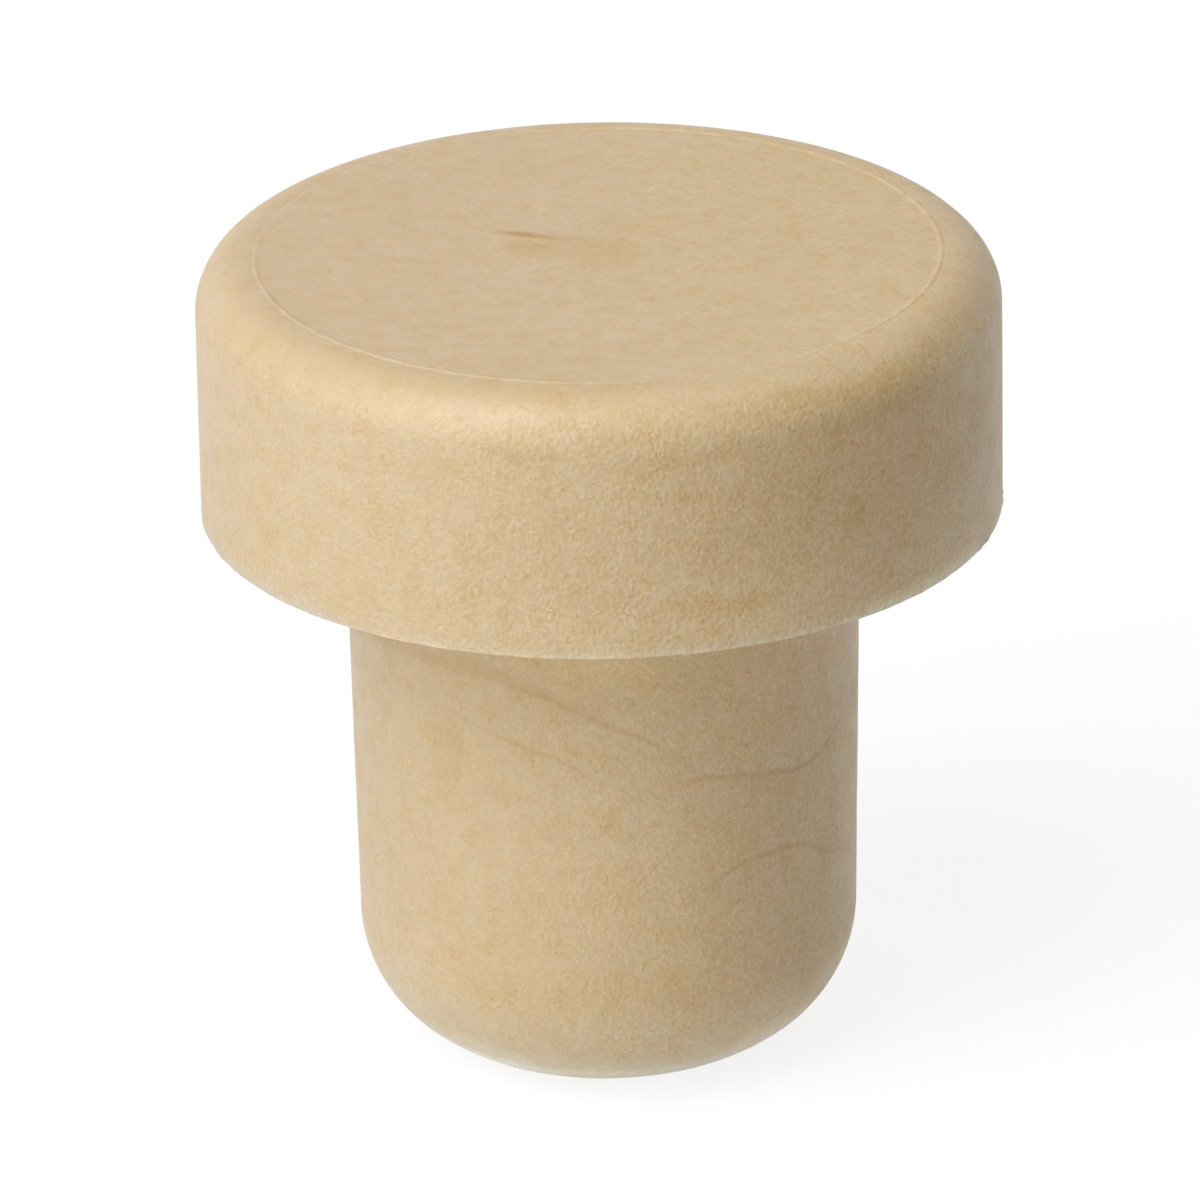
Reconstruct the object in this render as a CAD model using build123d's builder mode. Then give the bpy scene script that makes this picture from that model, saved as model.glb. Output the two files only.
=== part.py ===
from build123d import *
from math import radians, tan
import os

# A T-shaped bottle stopper, moulded in one piece from a cork-coloured synthetic foam.
# It is a solid of revolution about Z. The origin is on the axis, in the plane where the
# head's underside seats on the bottle's rim: the head is above it and the leg below.
# Sizes are in millimetres.

# The head, the grip that stays outside the bottle
head_diameter = 30.0
head_height = 9.9
shoulder_radius = 2.0

# The fine raised line round the flat top, where the mould's round insert meets its wall
ring_inset = 0.25
ring_width = 0.24
ring_crest = 0.08
ring_height = 0.08

# The leg, the plug that is pressed into the bottle's mouth
leg_diameter = 19.3
leg_length = 21.5
leg_draft = 0.85
foot_radius = 5.2

# Sizes that follow
head_r = head_diameter / 2
leg_r = leg_diameter / 2
foot_r = leg_r - leg_length * tan(radians(leg_draft))
flat_top_r = head_r - shoulder_radius
ring_r = flat_top_r - ring_inset
ring_top = head_height + ring_height

with BuildPart() as stopper:
    # Half section of the head and the tapered leg, with plain corners
    with BuildSketch(Plane.XZ) as section:
        with BuildLine() as outline:
            Polyline(
                (0, -leg_length),
                (foot_r, -leg_length),
                (leg_r, 0),
                (head_r, 0),
                (head_r, head_height),
                (0, head_height),
                close=True,
            )
        make_face()
    revolve(axis=Axis.Z)

    # The foot and the shoulder are rounded. The head's lower edge stays sharp, because the
    # halves of the mould meet there, and so does the corner that the bottle's rim sits in.
    rims = stopper.edges().filter_by(GeomType.CIRCLE).group_by(Axis.Z)
    foot_rim = rims[0]
    shoulder_rim = rims[-1]
    fillet(foot_rim, radius=foot_radius)
    fillet(shoulder_rim, radius=shoulder_radius)

    # The raised line stands on the flat top: sloping sides and a narrow crest
    with BuildSketch(Plane.XZ) as ring_section:
        with BuildLine() as ring_outline:
            Polyline(
                (ring_r - ring_width / 2, head_height),
                (ring_r - ring_crest / 2, ring_top),
                (ring_r + ring_crest / 2, ring_top),
                (ring_r + ring_width / 2, head_height),
                close=True,
            )
        make_face()
    revolve(axis=Axis.Z)

stopper.part.label = "stopper"

os.makedirs("parts", exist_ok=True)
export_step(stopper.part, "parts/stopper.step")
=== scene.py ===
"""Looks of the moulded bottle stopper: its skin, its material, the floor, lights and camera."""

from math import ceil, cos, dist, pi, radians, sin, tan

import bpy
from mathutils import Matrix, Vector, noise


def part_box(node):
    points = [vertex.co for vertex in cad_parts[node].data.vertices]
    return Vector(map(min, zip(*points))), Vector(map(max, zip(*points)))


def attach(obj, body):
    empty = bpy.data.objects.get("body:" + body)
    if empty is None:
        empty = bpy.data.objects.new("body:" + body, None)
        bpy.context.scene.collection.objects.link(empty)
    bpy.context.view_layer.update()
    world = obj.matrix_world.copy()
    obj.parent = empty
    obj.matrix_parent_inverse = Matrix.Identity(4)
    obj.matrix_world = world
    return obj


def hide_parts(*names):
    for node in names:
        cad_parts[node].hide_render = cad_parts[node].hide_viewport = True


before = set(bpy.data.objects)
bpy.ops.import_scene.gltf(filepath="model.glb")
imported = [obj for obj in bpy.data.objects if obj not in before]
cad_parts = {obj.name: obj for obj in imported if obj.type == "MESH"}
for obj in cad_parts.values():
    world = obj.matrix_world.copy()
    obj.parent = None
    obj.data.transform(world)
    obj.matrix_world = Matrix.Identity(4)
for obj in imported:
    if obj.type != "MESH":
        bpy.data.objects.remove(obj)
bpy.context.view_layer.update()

MM = 0.001

# The stopper's sizes in millimetres. Its outer bounds are read from the frame, and the other
# sizes repeat those of the solid, which has a plain corner in place of the root's rounding.
low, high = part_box("stopper")
HEAD_R = high.x / MM
FOOT_Z = low.z / MM
RING_HEIGHT = 0.08
HEAD_TOP = high.z / MM - RING_HEIGHT
SHOULDER_R = 2.0
RING_INSET = 0.25
RING_R = HEAD_R - SHOULDER_R - RING_INSET
RING_HALF_WIDTH = 0.12
LEG_R = 9.65
LEG_DRAFT = radians(0.85)
FOOT_ROUND_R = 5.2
ROOT_R = 0.12

# How finely the skin is divided: points round the axis, then steps along the outline
TURNS = 480
FINE_STEP = 0.02
SMALL_STEP = 0.06
MEDIUM_STEP = 0.16
FOOT_STEP = 0.324
COARSE_STEP = 0.36

# Strips with steps of their own: under the head beside its lower edge, on the wall above that
# edge, and on the top inside the raised line
EDGE_STRIP = 0.1
WALL_STRIP = 0.7
RING_STRIP = 0.4

# Heights, or radii, that differ by less than this count as the same
NEAR = 0.001

# Slow waves of the skin. Unevenness is given as layers of noise: fineness, then strength.
WAVE_HEIGHT = 0.012
WAVE_LENGTH = 3.5
WAVE_SHARE_ON_TOP = 0.4
WAVE_LAYERS = [(1.0 / WAVE_LENGTH, 1.0), (2.3 / WAVE_LENGTH, 0.5)]

# The torn flash that stands out at the head's lower edge
FLASH_REACH = 0.05
FLASH_THICKNESS = 0.12
FLASH_SHARE = 0.25
FLASH_LAYERS = [(0.5, 0.7), (2.3, 0.8)]

# How much of the raised line is left: its share, the least and the most of it, and what is worn
# away, as degrees from the front, half width in degrees and share lost
RING_SHARE = 0.48
RING_LEAST = 0.06
RING_MOST = 0.80
RING_WEAR = [(25, 38, 0.45), (-112, 60, 0.45), (90, 50, 0.15), (-32, 55, -0.15)]
RING_LAYERS = [(3.1, 0.30), (17.0, 0.35)]


def arc(centre, radius, start, end, step):
    """Points on an arc in the (r, z) half plane, angles in radians, without its first point."""
    count = max(3, ceil(abs(end - start) * radius / step))
    angles = [start + (end - start) * i / count for i in range(1, count + 1)]
    return [(centre[0] + radius * cos(a), centre[1] + radius * sin(a)) for a in angles]


def line(start, end, step):
    """Points on a straight stretch in the (r, z) half plane, without its first point."""
    count = max(1, round(dist(start, end) / step))
    return [
        (start[0] + (end[0] - start[0]) * i / count, start[1] + (end[1] - start[1]) * i / count)
        for i in range(1, count + 1)
    ]


def half_section():
    """The stopper's outline in the (r, z) half plane, from the foot's centre to the top's centre."""
    foot_r = LEG_R + FOOT_Z * tan(LEG_DRAFT)
    # The foot's rounding touches the flat foot and the tapered leg
    foot_flat_r = foot_r - FOOT_ROUND_R * tan(pi / 4 - LEG_DRAFT / 2)
    foot_centre = (foot_flat_r, FOOT_Z + FOOT_ROUND_R)
    root_z = -ROOT_R
    root_r = LEG_R + root_z * tan(LEG_DRAFT)
    root_centre = (root_r + ROOT_R, root_z)
    shoulder_centre = (HEAD_R - SHOULDER_R, HEAD_TOP - SHOULDER_R)
    ring_inner = RING_R - RING_HALF_WIDTH
    ring_outer = RING_R + RING_HALF_WIDTH

    points = [(COARSE_STEP / 2, FOOT_Z)]
    points += line(points[-1], (foot_flat_r, FOOT_Z), COARSE_STEP)
    points += arc(foot_centre, FOOT_ROUND_R, -pi / 2, -LEG_DRAFT, FOOT_STEP)
    points += line(points[-1], (root_r, root_z), COARSE_STEP)
    points += arc(root_centre, ROOT_R, pi, pi / 2, SMALL_STEP)
    points += line(points[-1], (HEAD_R - EDGE_STRIP, 0.0), COARSE_STEP)
    points += line(points[-1], (HEAD_R, 0.0), EDGE_STRIP)
    points += line(points[-1], (HEAD_R, FLASH_THICKNESS), FINE_STEP)
    points += line(points[-1], (HEAD_R, WALL_STRIP), MEDIUM_STEP)
    points += line(points[-1], (HEAD_R, shoulder_centre[1]), COARSE_STEP)
    points += arc(shoulder_centre, SHOULDER_R, 0, pi / 2, MEDIUM_STEP)
    points += line(points[-1], (ring_outer, HEAD_TOP), SMALL_STEP)
    points += line(points[-1], (ring_inner, HEAD_TOP), FINE_STEP)
    points += line(points[-1], (ring_inner - RING_STRIP, HEAD_TOP), MEDIUM_STEP)
    points += line(points[-1], (COARSE_STEP / 2, HEAD_TOP), COARSE_STEP)
    return points


def outline_normals(points):
    """Directions out of the skin in the (r, z) half plane, one for each point of the outline."""
    normals = []
    for i in range(len(points)):
        before = points[max(0, i - 1)]
        after = points[min(len(points) - 1, i + 1)]
        along = Vector((after[0] - before[0], after[1] - before[1])).normalized()
        normals.append((along.y, -along.x))
    return normals


def uneven(point, layers):
    """Smooth noise at a point, as the sum of its layers."""
    return sum(strength * noise.noise(point * fineness) for fineness, strength in layers)


def bell(value, centre, width):
    """1 at the centre, falling smoothly to 0 at the width."""
    away = min(1.0, abs(value - centre) / width)
    return (1 - away * away) ** 2


def front_degrees(angle):
    """Degrees round the axis from the front, to the right."""
    return (angle * 180 / pi + 90 + 180) % 360 - 180


def outward(angle):
    """Direction away from the axis."""
    return Vector((cos(angle), sin(angle), 0.0))


def ring_rise(r, angle):
    """Height of the raised line at a radius: it is worn away in places round the top."""
    across = (r - RING_R) / RING_HALF_WIDTH
    if abs(across) >= 1:
        return 0.0
    turn = front_degrees(angle)
    worn = sum(share * bell(turn, centre, width) for centre, width, share in RING_WEAR)
    left = RING_SHARE - worn + uneven(outward(angle), RING_LAYERS)
    return RING_HEIGHT * min(RING_MOST, max(RING_LEAST, left)) * (1 - across * across) ** 1.5


def flash_reach(r, z, angle):
    """How far the torn moulding flash stands out at the head's lower edge."""
    if r < HEAD_R - NEAR or z > FLASH_THICKNESS:
        return 0.0
    share = FLASH_SHARE + uneven(outward(angle) * HEAD_R, FLASH_LAYERS)
    return FLASH_REACH * min(1.0, max(0.0, share)) * (1 - z / FLASH_THICKNESS)


def skin_point(r, z, angle, normal):
    """A point of the skin with its relief, in millimetres."""
    spot = Vector((r * cos(angle), r * sin(angle), z))
    out = Vector((normal[0] * cos(angle), normal[0] * sin(angle), normal[1]))
    lift = WAVE_HEIGHT * uneven(spot, WAVE_LAYERS)
    if abs(z - FOOT_Z) < NEAR:
        lift = 0.0
    if abs(z - HEAD_TOP) < NEAR:
        lift = WAVE_SHARE_ON_TOP * lift + ring_rise(r, angle)
    return spot + out * lift + outward(angle) * flash_reach(r, z, angle)


def skin_vertices(points):
    """The foot's centre, a ring of vertices for each point of the outline, and the top's centre."""
    vertices = [Vector((0.0, 0.0, FOOT_Z))]
    for (r, z), normal in zip(points, outline_normals(points)):
        vertices += [skin_point(r, z, 2 * pi * t / TURNS, normal) for t in range(TURNS)]
    lift = WAVE_SHARE_ON_TOP * WAVE_HEIGHT * uneven(Vector((0.0, 0.0, HEAD_TOP)), WAVE_LAYERS)
    vertices.append(Vector((0.0, 0.0, HEAD_TOP + lift)))
    return [vertex * MM for vertex in vertices]


def skin_faces(rows):
    """Faces between the rings of vertices, closed by a fan at the foot and one at the top."""
    top_centre = 1 + rows * TURNS
    last = top_centre - TURNS
    faces = []
    for t in range(TURNS):
        beside = (t + 1) % TURNS
        faces.append((0, 1 + beside, 1 + t))
        for base in range(1, last, TURNS):
            above = base + TURNS
            faces.append((base + t, base + beside, above + beside, above + t))
        faces.append((last + t, last + beside, top_centre))
    return faces


def sharpen_lower_edge(mesh, points):
    """Marks the ring of edges at the head's lower edge as sharp."""
    row = min(range(len(points)), key=lambda i: dist(points[i], (HEAD_R, 0.0)))
    ring = range(1 + row * TURNS, 1 + (row + 1) * TURNS)
    for edge in mesh.edges:
        if all(vertex in ring for vertex in edge.vertices):
            edge.use_edge_sharp = True


def build_skin():
    """The whole skin as one closed mesh, turned from the half section."""
    points = half_section()
    mesh = bpy.data.meshes.new("stopper_skin")
    mesh.from_pydata(skin_vertices(points), [], skin_faces(len(points)))
    mesh.validate()
    mesh.shade_smooth()
    sharpen_lower_edge(mesh, points)
    skin = bpy.data.objects.new("stopper_skin", mesh)
    bpy.context.scene.collection.objects.link(skin)
    return skin


# The chart of the skin's sides: degrees from the front to the right, and height in millimetres
CHART_BOTTOM = -22.0
CHART_SPAN = 32.0


class Nodes:
    """Short calls for building the nodes of one material or of the world."""

    def __init__(self, owner):
        self.tree = owner.node_tree
        self.tree.nodes.clear()

    def put(self, socket, value):
        """Sets a socket to a number, a colour or another node's output."""
        if isinstance(value, bpy.types.NodeSocket):
            self.tree.links.new(value, socket)
        elif value is not None:
            socket.default_value = value

    def add(self, kind, inputs=None, **settings):
        """Adds a node with its settings and inputs, and returns it."""
        node = self.tree.nodes.new(kind)
        for name, value in settings.items():
            setattr(node, name, value)
        for key, value in (inputs or {}).items():
            self.put(node.inputs[key], value)
        return node

    def math(self, operation, a, b=None):
        return self.add("ShaderNodeMath", {0: a, 1: b}, operation=operation).outputs[0]

    def times(self, *values):
        """The product of two or more values."""
        product = values[0]
        for value in values[1:]:
            product = self.math("MULTIPLY", product, value)
        return product

    def vector(self, operation, a, b):
        return self.add("ShaderNodeVectorMath", {0: a, 1: b}, operation=operation).outputs[0]

    def scaled(self, vector, scale):
        inputs = {0: vector, "Scale": scale}
        return self.add("ShaderNodeVectorMath", inputs, operation="SCALE").outputs[0]

    def split(self, vector):
        """The three numbers of a vector or a colour."""
        return self.add("ShaderNodeSeparateXYZ", {0: vector}).outputs

    def flat_length(self, vector):
        """Length of a vector without its third number."""
        flat = self.vector("MULTIPLY", vector, (1.0, 1.0, 0.0))
        return self.add("ShaderNodeVectorMath", {0: flat}, operation="LENGTH").outputs["Value"]

    def noise(self, vector, fineness, detail=2.0, roughness=0.5, output="Fac"):
        """A noise, or three of them where the output is Color."""
        inputs = {"Vector": vector, "Scale": fineness, "Detail": detail, "Roughness": roughness}
        return self.add("ShaderNodeTexNoise", inputs).outputs[output]

    def shaken(self, vector, drift, amount):
        """The vector moved about by a drift, by some amount in each direction."""
        return self.vector("ADD", vector, self.vector("MULTIPLY", drift, amount))

    def ramp(self, value, start, end, low=0.0, high=1.0, shape="SMOOTHSTEP"):
        """A smooth step from low, where the value is start, to high, where it is end."""
        inputs = {"Value": value, "From Min": start, "From Max": end, "To Min": low, "To Max": high}
        return self.add("ShaderNodeMapRange", inputs, interpolation_type=shape).outputs[0]

    def straight(self, value, start, end):
        """A straight step from 0, where the value is start, to 1, where it is end."""
        return self.ramp(value, start, end, shape="LINEAR")

    def blend(self, factor, a, b, mode="MIX"):
        """Mixes two colours."""
        node = self.add("ShaderNodeMix", data_type="RGBA", blend_type=mode)
        self.put(node.inputs[0], factor)
        self.put(node.inputs[6], a)
        self.put(node.inputs[7], b)
        return node.outputs[2]

    def tinted(self, colour, strength, tint):
        """Multiplies a colour by a tint where the strength is 1."""
        return self.blend(strength, colour, tint + (1,), mode="MULTIPLY")

    def curve(self, value, points):
        """A smooth curve through points whose both coordinates lie between 0 and 1."""
        node = self.add("ShaderNodeFloatCurve", {"Value": value})
        node.mapping.extend = "HORIZONTAL"
        drawn = node.mapping.curves[0].points
        drawn[0].location = points[0]
        drawn[1].location = points[-1]
        for point in points[1:-1]:
            drawn.new(*point)
        node.mapping.update()
        return node.outputs[0]

    def streak(self, chart, path, width):
        """Strength of a flow line through points of degrees, height and strength."""
        turn, height = self.split(chart)[:2]
        along = self.straight(turn, -180, 180)
        heights = [((d + 180) / 360, (z - CHART_BOTTOM) / CHART_SPAN) for d, z, s in path]
        strengths = [((d + 180) / 360, s) for d, z, s in path]
        middle = self.math("ADD", self.times(self.curve(along, heights), CHART_SPAN), CHART_BOTTOM)
        away = self.math("ABSOLUTE", self.math("SUBTRACT", height, middle))
        return self.times(self.ramp(away, width, 0.0), self.curve(along, strengths))

    def crinkle(self, mm):
        """Short curled lines about a fifteenth of a millimetre wide."""
        away = self.math("SUBTRACT", self.noise(mm, CRINKLE_FINENESS, detail=1.0), 0.5)
        return self.ramp(self.math("ABSOLUTE", away), *CRINKLE_RANGE)

    def blob(self, place, centre, size, turn=0.0, core=0.2):
        """Strength of a soft patch of the given half sizes, turned by some degrees.

        The core is the share of the half sizes within which the strength is 1.
        """
        inputs = {
            "Vector": place,
            "Location": centre + (0.0,),
            "Rotation": (0.0, 0.0, radians(turn)),
            "Scale": size + (1.0,),
        }
        local = self.add("ShaderNodeMapping", inputs, vector_type="TEXTURE").outputs[0]
        return self.ramp(self.flat_length(local), 1.0, core)


# The plain cork tint: paler and warmer clouds. It is paler and greyer on the left and a little
# yellower towards the right, a painted sheen from the lamps on the left.
PALE_LEFT = (0.596, 0.460, 0.288, 1.0)
PALE_RIGHT = (0.592, 0.442, 0.250, 1.0)
WARM_LEFT = (0.588, 0.448, 0.272, 1.0)
WARM_RIGHT = (0.580, 0.426, 0.232, 1.0)

# Tints that multiply the plain cork tint: stains, and for the strokes and the raised line painted
# light and shade
TOP_LEFT_TINT = (0.990, 0.960, 0.915)
WARM_TINT = (0.990, 0.955, 0.890)
PATCH_DARK = (0.970, 0.935, 0.880)
PATCH_PALE = (1.020, 1.045, 1.090)
GRAIN_DARK = (0.930, 0.910, 0.880)
GRAIN_PALE = (1.065, 1.085, 1.120)
# Crinkles, painted as a lit stroke and a shaded stroke
STROKE_SHADE = (0.900, 0.855, 0.775)
STROKE_LIT = (1.095, 1.125, 1.180)
FLECK_DARK = (0.900, 0.850, 0.770)
FLECK_PALE = (1.080, 1.110, 1.160)
BAND_TINT = (0.945, 0.890, 0.790)
LINE_TINT = (0.860, 0.790, 0.690)
# A painted highlight along the raised line round the top
RING_HIGHLIGHT = (1.030, 1.060, 1.120)

# Fineness of the noises, for each millimetre
CLOUD_FINENESS = 0.20
DRIFT_FINENESS = 0.45
MOTTLE_FINENESS = 0.9
PATCH_FINENESS = 1.3
FLECK_FINENESS = 1.7
SPECK_FINENESS = 2.4
CRINKLE_FINENESS = 3.1
GRAIN_FINENESS = 5.2

# Ranges of a noise's value, from no effect to the full effect. Two more numbers, where given,
# are the values at both ends.
CLOUD_RANGE = (0.35, 0.65)
WARM_RANGE = (0.45, 0.75)
DARK_RANGE = (0.50, 0.25)
PALE_RANGE = (0.50, 0.75)
CRINKLE_RANGE = (0.055, 0.0)
SHORT_RANGE = (0.45, 0.56)
CLUSTER_RANGE = (0.38, 0.60, 0.2, 1.1)
FLECK_RANGE = (0.20, 0.06)
FLECK_DARK_RANGE = (0.18, 0.10)
FLECK_PALE_RANGE = (0.68, 0.80)
BROKEN_RANGE = (0.30, 0.55, 0.45, 1.0)
ROUGHNESS_RANGE = (0.3, 0.7, 0.38, 0.46)

# Ranges of a place in millimetres, given in the same way
TOP_Z = (HEAD_TOP - 0.6, HEAD_TOP - 0.1)
HEAD_Z = (-0.004, 0.0)
# Where the painted sheen on the left fades out towards the right
SHEEN_FADE_X = (-13.0, 9.0)
TOP_LEFT_X = (4.0, -10.0)
RELIEF_Z = (HEAD_TOP - 1.5, HEAD_TOP - 0.1, 1.0, 0.5)
# The grain grows towards the right: painted light and shade of the relief under grazing light
GRAZING_GRAIN_X = (-12.0, 12.0, 0.55, 1.45)
GRAIN_Z = (-0.4, 0.4, 0.78, 1.0)
RING_AWAY = (0.13, 0.02)

# Specks: the colour they start from, and how far it varies
SPECK_BASE = (0.955, 0.955, 0.93)
SPECK_SPREAD = (0.09, 0.09, 0.14)

# The painted shade of a crinkle lies beside its painted lit side by this much, down and to the right
# as for light from the upper left, and flecks are bent by this much, both in millimetres
CRINKLE_SHADE_SHIFT = (-0.07, 0.0, 0.07)
FLECK_BEND = 0.6

# Flow lines and broad bands, each path as degrees, height and strength. One path may hold
# several marks that follow each other round the axis.
LINE_WIDTH = 0.19
FLOW_LINES = [
    # Behind on the left, then the upper line from under the head, then behind on the right
    [(-168, -6.6, 0), (-150, -6.0, 0.8), (-132, -6.3, 0.9), (-112, -7.6, 0.7), (-92, -8.2, 0),
     (-46, -3.3, 0), (-30, -3.4, 0.3), (-20, -3.8, 0.5), (-12, -4.15, 0.8), (-4, -4.8, 0.7),
     (6, -5.5, 0.7), (14, -6.4, 0.5), (26, -7.6, 0),
     (92, -9.5, 0), (108, -9.2, 0.7), (122, -9.9, 1.0), (140, -11.2, 0.8), (158, -11.9, 0)],
    # The second line on the left, then the line that rises to the right
    [(-48, -5.1, 0), (-36, -5.3, 0.3), (-31, -5.5, 0.4), (-21, -5.95, 0.5), (-13, -6.4, 0.6),
     (-4, -7.2, 0.3), (4, -8.0, 0), (13, -7.9, 0), (19, -7.6, 0.7), (33, -7.9, 0.9),
     (50, -8.4, 1.0), (60, -8.1, 1.0), (72, -7.1, 0.5), (86, -6.3, 0)],
    # The lower line on the right
    [(16, -12.8, 0), (26, -11.9, 0.6), (32, -11.5, 0.9), (40, -11.35, 1.0), (47, -11.45, 0.9),
     (57, -12.2, 0.8), (76, -13.6, 0)],
]
BAND_WIDTH = 0.60
FLOW_BANDS = [
    # Under the head, round to the lines on the right
    [(-115, -4.6, 0), (-80, -3.9, 0.7), (-66, -3.5, 0.9), (-46, -3.2, 1.0), (-30, -3.3, 1.0),
     (-14, -4.0, 0.6), (2, -5.3, 0.2), (16, -7.5, 0), (33, -8.4, 0.4), (52, -8.9, 0.6),
     (66, -8.1, 0.5), (92, -6.7, 0)],
    # On the shoulder
    [(24, 9.2, 0), (29, 9.1, 0.9), (35, 8.9, 1.0), (41, 8.8, 1.0), (49, 8.8, 1.0), (56, 9.0, 0.9),
     (74, 9.1, 0)],
]

# Soft patches on the sides, some of them stains and some painted light or shade: degrees and height,
# half sizes in the same units, tint
SIDE_STAINS_AND_PAINTED_LIGHT = [
    # An ochre stain on the head's right, made deeper as painted shade
    ((42, 5.2), (48, 5.2), (0.915, 0.872, 0.808)),
    # Painted shade on the head's right side, away from the lamps
    ((90, 4.0), (44, 7.0), (0.870, 0.875, 0.905)),
    ((46, 8.0), (22, 0.9), (0.945, 0.900, 0.820)),
    ((4, 3.6), (30, 3.6), (0.970, 0.945, 0.930)),
    ((-10, 8.0), (7, 0.6), (0.960, 0.925, 0.850)),
    ((10, 7.5), (17, 0.5), (0.975, 0.935, 0.865)),
    ((16, 1.8), (15, 0.7), (0.975, 0.940, 0.870)),
    ((-57, 2.3), (6, 0.8), (0.970, 0.930, 0.860)),
    ((-38, -7.1), (7, 1.9), (0.960, 0.925, 0.850)),
    ((0, -16.2), (60, 1.7), (0.970, 0.945, 0.885)),
    # Painted light: the leg paler just under the head, against the head's shadow
    ((-2, -2.2), (26, 2.2), (1.130, 1.125, 1.050)),
    # Painted light: the front of the leg a little paler
    ((2, -11.0), (32, 5.5), (1.030, 1.030, 1.040)),
    # Painted reflection of the bright floor on the foot, on the right and on the left
    ((46, -19.7), (26, 1.3), (1.220, 1.260, 1.400)),
    ((-34, -19.9), (26, 1.2), (1.080, 1.140, 1.270)),
    # Painted highlight along the right of the shoulder
    ((56, 8.75), (44, 1.15), (1.080, 1.120, 1.180)),
    ((118, 4.0), (20, 2.0), (0.975, 0.945, 0.880)),
    ((-142, 6.5), (18, 1.4), (0.975, 0.945, 0.880)),
]

# How far the flow lines, and the bands and patches, waver: degrees, then millimetres
LINE_WAVER = (5.0, 0.30, 0.0)
BAND_WAVER = (9.0, 0.8, 0.0)

# The injection mark, in millimetres on the top: centre, half sizes, turn in degrees, tint
GATE_PATCHES = [
    ((-2.4, 0.8), (1.9, 1.6), -20, (0.965, 0.910, 0.790)),
    ((0.2, -0.1), (2.0, 2.3), 10, (0.970, 0.910, 0.790)),
    ((2.9, 2.6), (2.9, 1.3), 10, (0.990, 0.960, 0.900)),
]
GATE_PATCH_WAVER = (1.2, 1.2, 0.0)
GATE_PATCH_CORE = 0.4
GATE_STREAKS = [
    ((-2.2, 1.70), (2.6, 0.42), -14, (0.880, 0.780, 0.600)),
    ((-3.0, 1.95), (1.3, 0.44), -14, (0.820, 0.710, 0.540)),
]
GATE_STREAK_WAVER = (0.5, 0.5, 0.0)
GATE_STREAK_CORE = 0.0

# The foot gets paler and whiter downwards, a painted reflection of the bright floor: heights from no
# effect to the full effect, and tint. The last step leaves out the middle of the foot, by a range of
# radius.
FOOT_REFLECTION_STEPS = [
    (FOOT_Z + 5.6, FOOT_Z + 3.2, (1.010, 1.070, 1.140)),
    (FOOT_Z + 2.6, FOOT_Z + 1.2, (1.010, 1.110, 1.270)),
]
FOOT_EDGE_Z = (FOOT_Z + 1.75, FOOT_Z + 1.1)
FOOT_EDGE_RADIUS = (3.5, 5.5)
FOOT_EDGE_REFLECTION = (1.220, 1.280, 1.410)

# The head's lower edge is drawn paler, a painted glow of light through the thin flash there: a pale
# band of uneven height all round, a thin line that is stronger to the right, and two stretches as
# the height, the degrees where each starts and ends, and tint
EDGE_BAND_RANGE = (0.35, 0.65, 0.35, 0.90)
EDGE_GLOW_TINT = (0.990, 1.035, 1.110)
EDGE_LINE_Z = (0.36, 0.04)
EDGE_LINE_X = (-12.0, 8.0, 0.15, 1.0)
EDGE_LINE_GLOW = (1.040, 1.110, 1.230)
EDGE_GLOW_STRETCHES = [
    ((0.82, 0.08), (28.0, 54.0), (72.0, 62.0), (1.280, 1.440, 1.660)),
    ((0.70, 0.20), (-34.0, -44.0), (-90.0, -75.0), (0.950, 1.000, 1.080)),
]

# Fine relief: its depth in millimetres, and the shares of the grain and the crinkles
RELIEF = 0.06
GRAIN_RELIEF = 0.7
CRINKLE_RELIEF = 0.06

# The skin's index of refraction
IOR = 1.48


class SkinMaps:
    """What the layers of the material share: places on the skin, in millimetres, and noises."""

    def __init__(self, n):
        place = n.add("ShaderNodeTexCoord").outputs["Object"]
        self.mm = n.scaled(place, 1 / MM)
        self.x, y, self.z = n.split(self.mm)
        self.radius = n.flat_length(self.mm)
        self.turn = n.times(n.math("ARCTAN2", self.x, n.times(y, -1.0)), 180 / pi)
        chart = n.add("ShaderNodeCombineXYZ", {0: self.turn, 1: self.z}).outputs[0]
        self.on_top = n.ramp(self.z, *TOP_Z)
        self.on_head = n.ramp(self.z, *HEAD_Z)

        self.mottle = n.noise(self.mm, MOTTLE_FINENESS)
        self.patches = n.noise(self.mm, PATCH_FINENESS, roughness=0.6)
        self.specks = n.noise(self.mm, SPECK_FINENESS, detail=1.0, output="Color")
        self.grain = n.noise(self.mm, GRAIN_FINENESS, detail=1.0)
        self.crinkle = n.crinkle(self.mm)
        self.broken = n.ramp(self.patches, *BROKEN_RANGE)

        # The relief is weaker on the top. So is the grain, and also on the leg and on the left:
        # growing towards the right, it paints the harder light and shade of the relief where the
        # light grazes.
        self.relief = n.ramp(self.z, *RELIEF_Z)
        self.graining = n.times(n.ramp(self.x, *GRAZING_GRAIN_X), self.relief, n.ramp(self.z, *GRAIN_Z))

        # Charts of the sides that waver, for lines and for bands
        drift = n.noise(self.mm, DRIFT_FINENESS, detail=1.0, output="Color")
        self.drift = n.vector("SUBTRACT", drift, (0.5, 0.5, 0.5))
        self.line_chart = n.shaken(chart, self.drift, LINE_WAVER)
        self.band_chart = n.shaken(chart, self.drift, BAND_WAVER)


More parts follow.
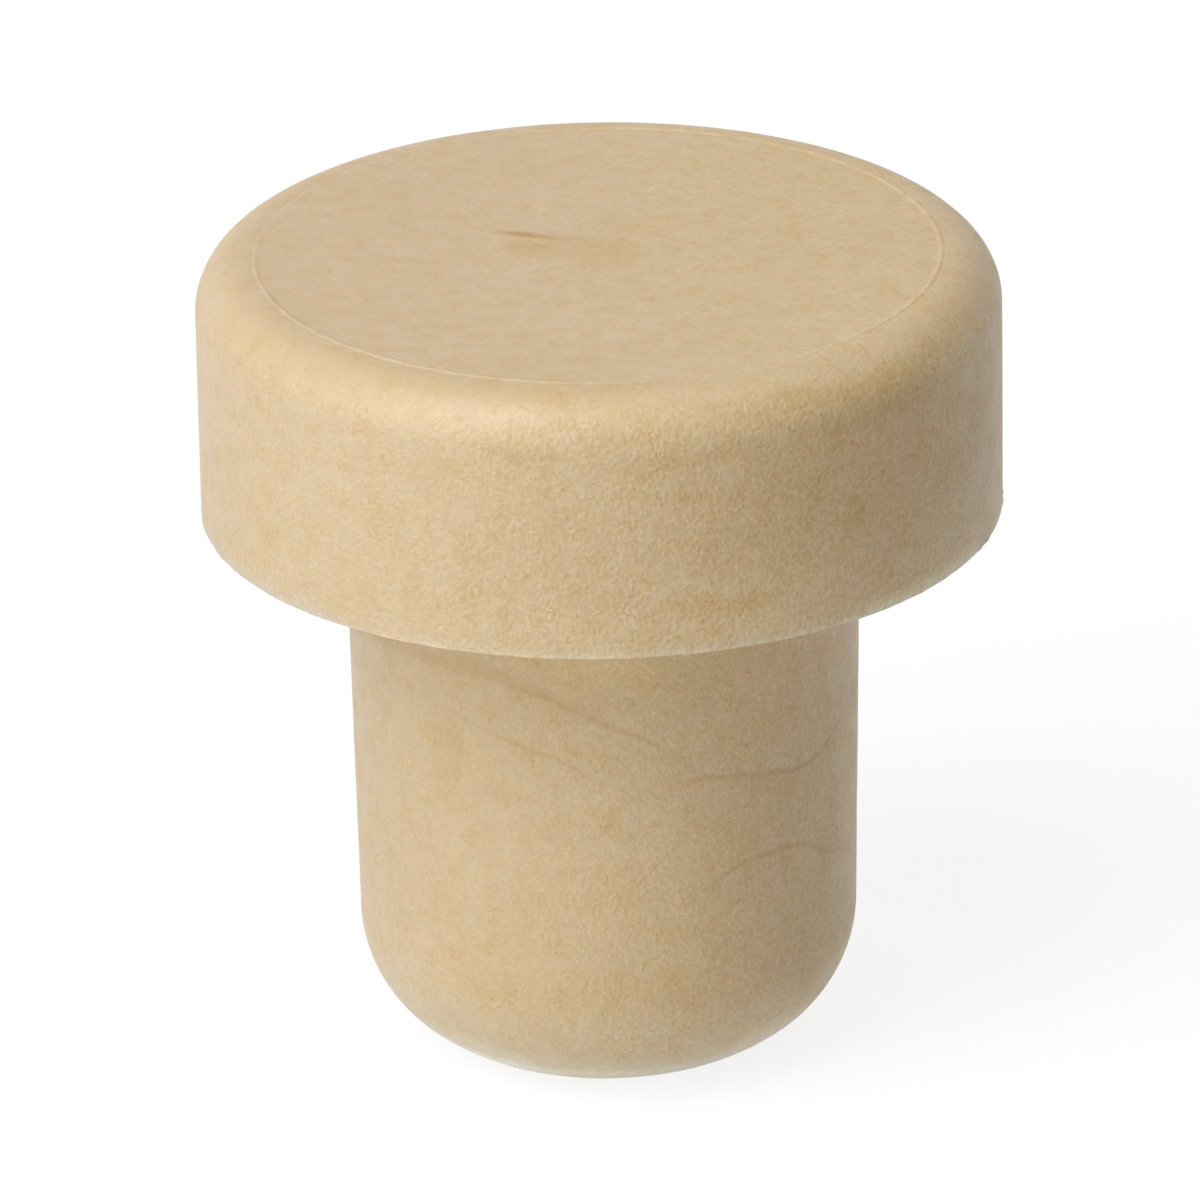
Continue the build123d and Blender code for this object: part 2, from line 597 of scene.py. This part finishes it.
def plain_tint(n, maps):
    """Slow clouds of paler and warmer tan, paler and greyer on the left as a painted sheen, then
    smaller mottles and specks.
    """
    clouds = n.ramp(n.noise(maps.mm, CLOUD_FINENESS), *CLOUD_RANGE)
    sheen_fade = n.ramp(maps.x, *SHEEN_FADE_X)
    pale = n.blend(sheen_fade, PALE_LEFT, PALE_RIGHT)
    warm = n.blend(sheen_fade, WARM_LEFT, WARM_RIGHT)
    colour = n.blend(clouds, warm, pale)
    top_left = n.times(maps.on_top, n.ramp(maps.x, *TOP_LEFT_X))
    colour = n.tinted(colour, top_left, TOP_LEFT_TINT)
    colour = n.tinted(colour, n.ramp(maps.mottle, *WARM_RANGE), WARM_TINT)
    colour = n.tinted(colour, n.straight(maps.patches, *DARK_RANGE), PATCH_DARK)
    colour = n.tinted(colour, n.straight(maps.patches, *PALE_RANGE), PATCH_PALE)
    specks = n.vector("ADD", n.vector("MULTIPLY", maps.specks, SPECK_SPREAD), SPECK_BASE)
    return n.blend(1.0, colour, specks, mode="MULTIPLY")


def with_grain(n, maps, colour):
    """Grain of the foam's skin, pale and dark, and short crinkles painted with a lit side and a
    shaded side beside it.
    """
    dark_grain = n.times(n.straight(maps.grain, *DARK_RANGE), maps.graining)
    pale_grain = n.times(n.straight(maps.grain, *PALE_RANGE), maps.graining)
    colour = n.tinted(colour, dark_grain, GRAIN_DARK)
    colour = n.tinted(colour, pale_grain, GRAIN_PALE)
    short = n.ramp(n.split(maps.specks)[0], *SHORT_RANGE)
    clusters = n.times(n.ramp(maps.mottle, *CLUSTER_RANGE), maps.graining, short)
    # A copy of the crinkles moved down and to the right: their painted shade
    beside = n.crinkle(n.vector("ADD", maps.mm, CRINKLE_SHADE_SHIFT))
    colour = n.tinted(colour, n.times(maps.crinkle, clusters), STROKE_LIT)
    return n.tinted(colour, n.times(beside, clusters), STROKE_SHADE)


def with_flecks(n, maps, colour):
    """Single flecks, mostly pale, some dark."""
    bent = n.vector("ADD", maps.mm, n.scaled(maps.specks, FLECK_BEND))
    cells = n.add("ShaderNodeTexVoronoi", {"Vector": bent, "Scale": FLECK_FINENESS})
    pick = n.split(cells.outputs["Color"])[0]
    fleck = n.ramp(cells.outputs["Distance"], *FLECK_RANGE)
    colour = n.tinted(colour, n.times(fleck, n.ramp(pick, *FLECK_PALE_RANGE)), FLECK_PALE)
    return n.tinted(colour, n.times(fleck, n.ramp(pick, *FLECK_DARK_RANGE)), FLECK_DARK)


def with_flow(n, maps, colour):
    """Flow bands and lines of the moulding, and soft patches, some stains and some painted light or
    shade, a little wavering.
    """
    for path in FLOW_BANDS:
        colour = n.tinted(colour, n.streak(maps.band_chart, path, BAND_WIDTH), BAND_TINT)
    for path in FLOW_LINES:
        strength = n.times(n.streak(maps.line_chart, path, LINE_WIDTH), maps.broken)
        colour = n.tinted(colour, strength, LINE_TINT)
    for centre, size, tint in SIDE_STAINS_AND_PAINTED_LIGHT:
        colour = n.tinted(colour, n.blob(maps.band_chart, centre, size), tint)
    return colour


def with_injection_mark(n, maps, colour):
    """The mark at the middle of the top: a brown streak in an ochre blush."""
    layers = [
        (GATE_PATCHES, GATE_PATCH_WAVER, GATE_PATCH_CORE),
        (GATE_STREAKS, GATE_STREAK_WAVER, GATE_STREAK_CORE),
    ]
    for marks, waver, core in layers:
        place = n.shaken(maps.mm, maps.drift, waver)
        for centre, size, turn, tint in marks:
            strength = n.times(n.blob(place, centre, size, turn, core), maps.on_top)
            colour = n.tinted(colour, strength, tint)
    return colour


def with_rims(n, maps, colour):
    """Paler rims, all painted light: a highlight on the raised line round the top, the floor's
    reflection on the foot and a glow along the head's lower edge.
    """
    # The raised line drawn paler: a painted highlight
    ring = n.ramp(n.math("ABSOLUTE", n.math("SUBTRACT", maps.radius, RING_R)), *RING_AWAY)
    colour = n.tinted(colour, n.times(ring, maps.on_top, maps.broken), RING_HIGHLIGHT)

    # Painted reflection of the floor on the foot
    for start, end, tint in FOOT_REFLECTION_STEPS:
        colour = n.tinted(colour, n.ramp(maps.z, start, end), tint)
    foot_edge = n.times(n.ramp(maps.z, *FOOT_EDGE_Z), n.ramp(maps.radius, *FOOT_EDGE_RADIUS))
    colour = n.tinted(colour, foot_edge, FOOT_EDGE_REFLECTION)

    # Painted glow along the head's lower edge
    band_height = n.ramp(maps.mottle, *EDGE_BAND_RANGE)
    band = n.times(n.ramp(maps.z, band_height, 0.0), maps.on_head)
    colour = n.tinted(colour, band, EDGE_GLOW_TINT)
    thin = n.times(n.ramp(maps.z, *EDGE_LINE_Z), maps.on_head, n.ramp(maps.x, *EDGE_LINE_X))
    colour = n.tinted(colour, thin, EDGE_LINE_GLOW)
    for heights, start, end, tint in EDGE_GLOW_STRETCHES:
        stretch = n.times(n.ramp(maps.turn, *start), n.ramp(maps.turn, *end))
        upwards = n.times(n.ramp(maps.z, *heights), maps.on_head)
        colour = n.tinted(colour, n.times(stretch, upwards), tint)
    return colour


def fine_relief(n, maps):
    """Pebbles of about a fifth of a millimetre and faint crinkles, smoother on the top."""
    pebbles = n.times(maps.grain, GRAIN_RELIEF)
    height = n.math("ADD", pebbles, n.times(maps.crinkle, CRINKLE_RELIEF))
    inputs = {"Height": n.times(height, maps.relief), "Strength": 1.0, "Distance": RELIEF * MM}
    return n.add("ShaderNodeBump", inputs).outputs[0]


def cork_material():
    """Cork-coloured moulded foam: a satin skin with fine pebbled relief and soft flow streaks."""
    material = bpy.data.materials.new("moulded_cork")
    material.use_nodes = True
    n = Nodes(material)
    maps = SkinMaps(n)
    colour = plain_tint(n, maps)
    colour = with_grain(n, maps, colour)
    colour = with_flecks(n, maps, colour)
    colour = with_flow(n, maps, colour)
    colour = with_injection_mark(n, maps, colour)
    colour = with_rims(n, maps, colour)
    shader = n.add("ShaderNodeBsdfPrincipled")
    n.put(shader.inputs["Base Color"], colour)
    n.put(shader.inputs["Roughness"], n.ramp(maps.mottle, *ROUGHNESS_RANGE))
    n.put(shader.inputs["Normal"], fine_relief(n, maps))
    shader.inputs["IOR"].default_value = IOR
    n.add("ShaderNodeOutputMaterial", {"Surface": shader.outputs[0]})
    return material


skin = build_skin()
skin.data.materials.append(cork_material())
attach(skin, "root")
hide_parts("stopper")


# Floor: it takes the object's shadow, and is drawn nearly white. It lies just under the foot, so
# that the two surfaces never coincide.
FLOOR_SIZE = 3.0
FLOOR_CLEARANCE = 0.02 * MM
FLOOR_COLOUR = 0.96
FLOOR_GLOW = 1.07
FLOOR_GLOW_SHARE = 0.80


def seen_directly(n):
    """1 for rays that come from the camera, a reflection or through glass, else 0."""
    path = n.add("ShaderNodeLightPath")
    seen = n.math("MAXIMUM", path.outputs["Is Camera Ray"], path.outputs["Is Glossy Ray"])
    return n.math("MAXIMUM", seen, path.outputs["Is Transmission Ray"])


def build_floor():
    bpy.ops.mesh.primitive_plane_add(size=FLOOR_SIZE, location=(0, 0, low.z - FLOOR_CLEARANCE))
    floor = bpy.context.object
    floor.name = "floor"
    material = bpy.data.materials.new("pale_floor")
    material.use_nodes = True
    n = Nodes(material)
    diffuse = n.add("ShaderNodeBsdfDiffuse", {"Color": (FLOOR_COLOUR,) * 3 + (1,)})
    glow = n.add("ShaderNodeEmission", {"Strength": FLOOR_GLOW})
    share = n.times(seen_directly(n), FLOOR_GLOW_SHARE)
    both = n.add("ShaderNodeMixShader", {0: share, 1: diffuse.outputs[0], 2: glow.outputs[0]})
    n.add("ShaderNodeOutputMaterial", {"Surface": both.outputs[0]})
    floor.data.materials.append(material)


build_floor()


# World: white where it is seen, softer where it only lights the object
WORLD_LIGHT = 0.11


def build_world():
    world = bpy.data.worlds.new("studio")
    bpy.context.scene.world = world
    world.use_nodes = True
    n = Nodes(world)
    strength = n.math("MAXIMUM", seen_directly(n), WORLD_LIGHT)
    sky = n.add("ShaderNodeBackground", {"Color": (1, 1, 1, 1), "Strength": strength})
    n.add("ShaderNodeOutputWorld", {"Surface": sky.outputs[0]})


build_world()


# Lights: a soft panel on the left, one high above it, and a weak one behind on the right
AIM = Vector((0, 0, -5 * MM))
PANELS = [
    # name, degrees to the right of the camera, degrees up, distance, size in metres, power
    ("left_panel", -49, 27, 0.60, 0.45, 2.15),
    ("upper_panel", -44, 62, 0.60, 0.35, 1.95),
    ("back_panel", 120, 70, 0.60, 0.30, 0.60),
]


def build_panel(name, azimuth, elevation, distance, size, power):
    data = bpy.data.lights.new(name, "AREA")
    data.shape = "SQUARE"
    data.size = size
    data.energy = power
    panel = bpy.data.objects.new(name, data)
    bpy.context.scene.collection.objects.link(panel)
    turn = radians(azimuth)
    level = cos(radians(elevation))
    towards = Vector((sin(turn) * level, -cos(turn) * level, sin(radians(elevation))))
    panel.location = AIM + towards * distance
    panel.rotation_euler = towards.to_track_quat("Z", "Y").to_euler()


for panel in PANELS:
    build_panel(*panel)


# Camera: fitted to the outline in the photograph, whose frame is square. Its places are in
# millimetres from the origin, and its lens and sensor in Blender's own millimetres.
LENS = 359.4
SENSOR = 36.0
CAMERA_BACK = 413.2
CAMERA_HEIGHT = 174.56
CAMERA_DOWN = radians(23.39)
CAMERA_TURN = radians(-0.019)
CAMERA_ROLL = radians(-0.964)


def build_camera():
    data = bpy.data.cameras.new("camera")
    data.lens = LENS
    data.sensor_width = SENSOR
    camera = bpy.data.objects.new("camera", data)
    bpy.context.scene.collection.objects.link(camera)
    level = cos(CAMERA_DOWN)
    forward = Vector((sin(CAMERA_TURN) * level, cos(CAMERA_TURN) * level, -sin(CAMERA_DOWN)))
    right = Vector((cos(CAMERA_TURN), -sin(CAMERA_TURN), 0.0))
    up = right.cross(forward)
    rolled_right = right * cos(CAMERA_ROLL) + up * sin(CAMERA_ROLL)
    rolled_up = up * cos(CAMERA_ROLL) - right * sin(CAMERA_ROLL)
    turn = Matrix((rolled_right, rolled_up, -forward)).transposed()
    place = Vector((0.0, -CAMERA_BACK, CAMERA_HEIGHT)) * MM
    camera.matrix_world = Matrix.Translation(place) @ turn.to_4x4()
    bpy.context.scene.camera = camera


build_camera()

bpy.context.scene.view_settings.view_transform = "Standard"
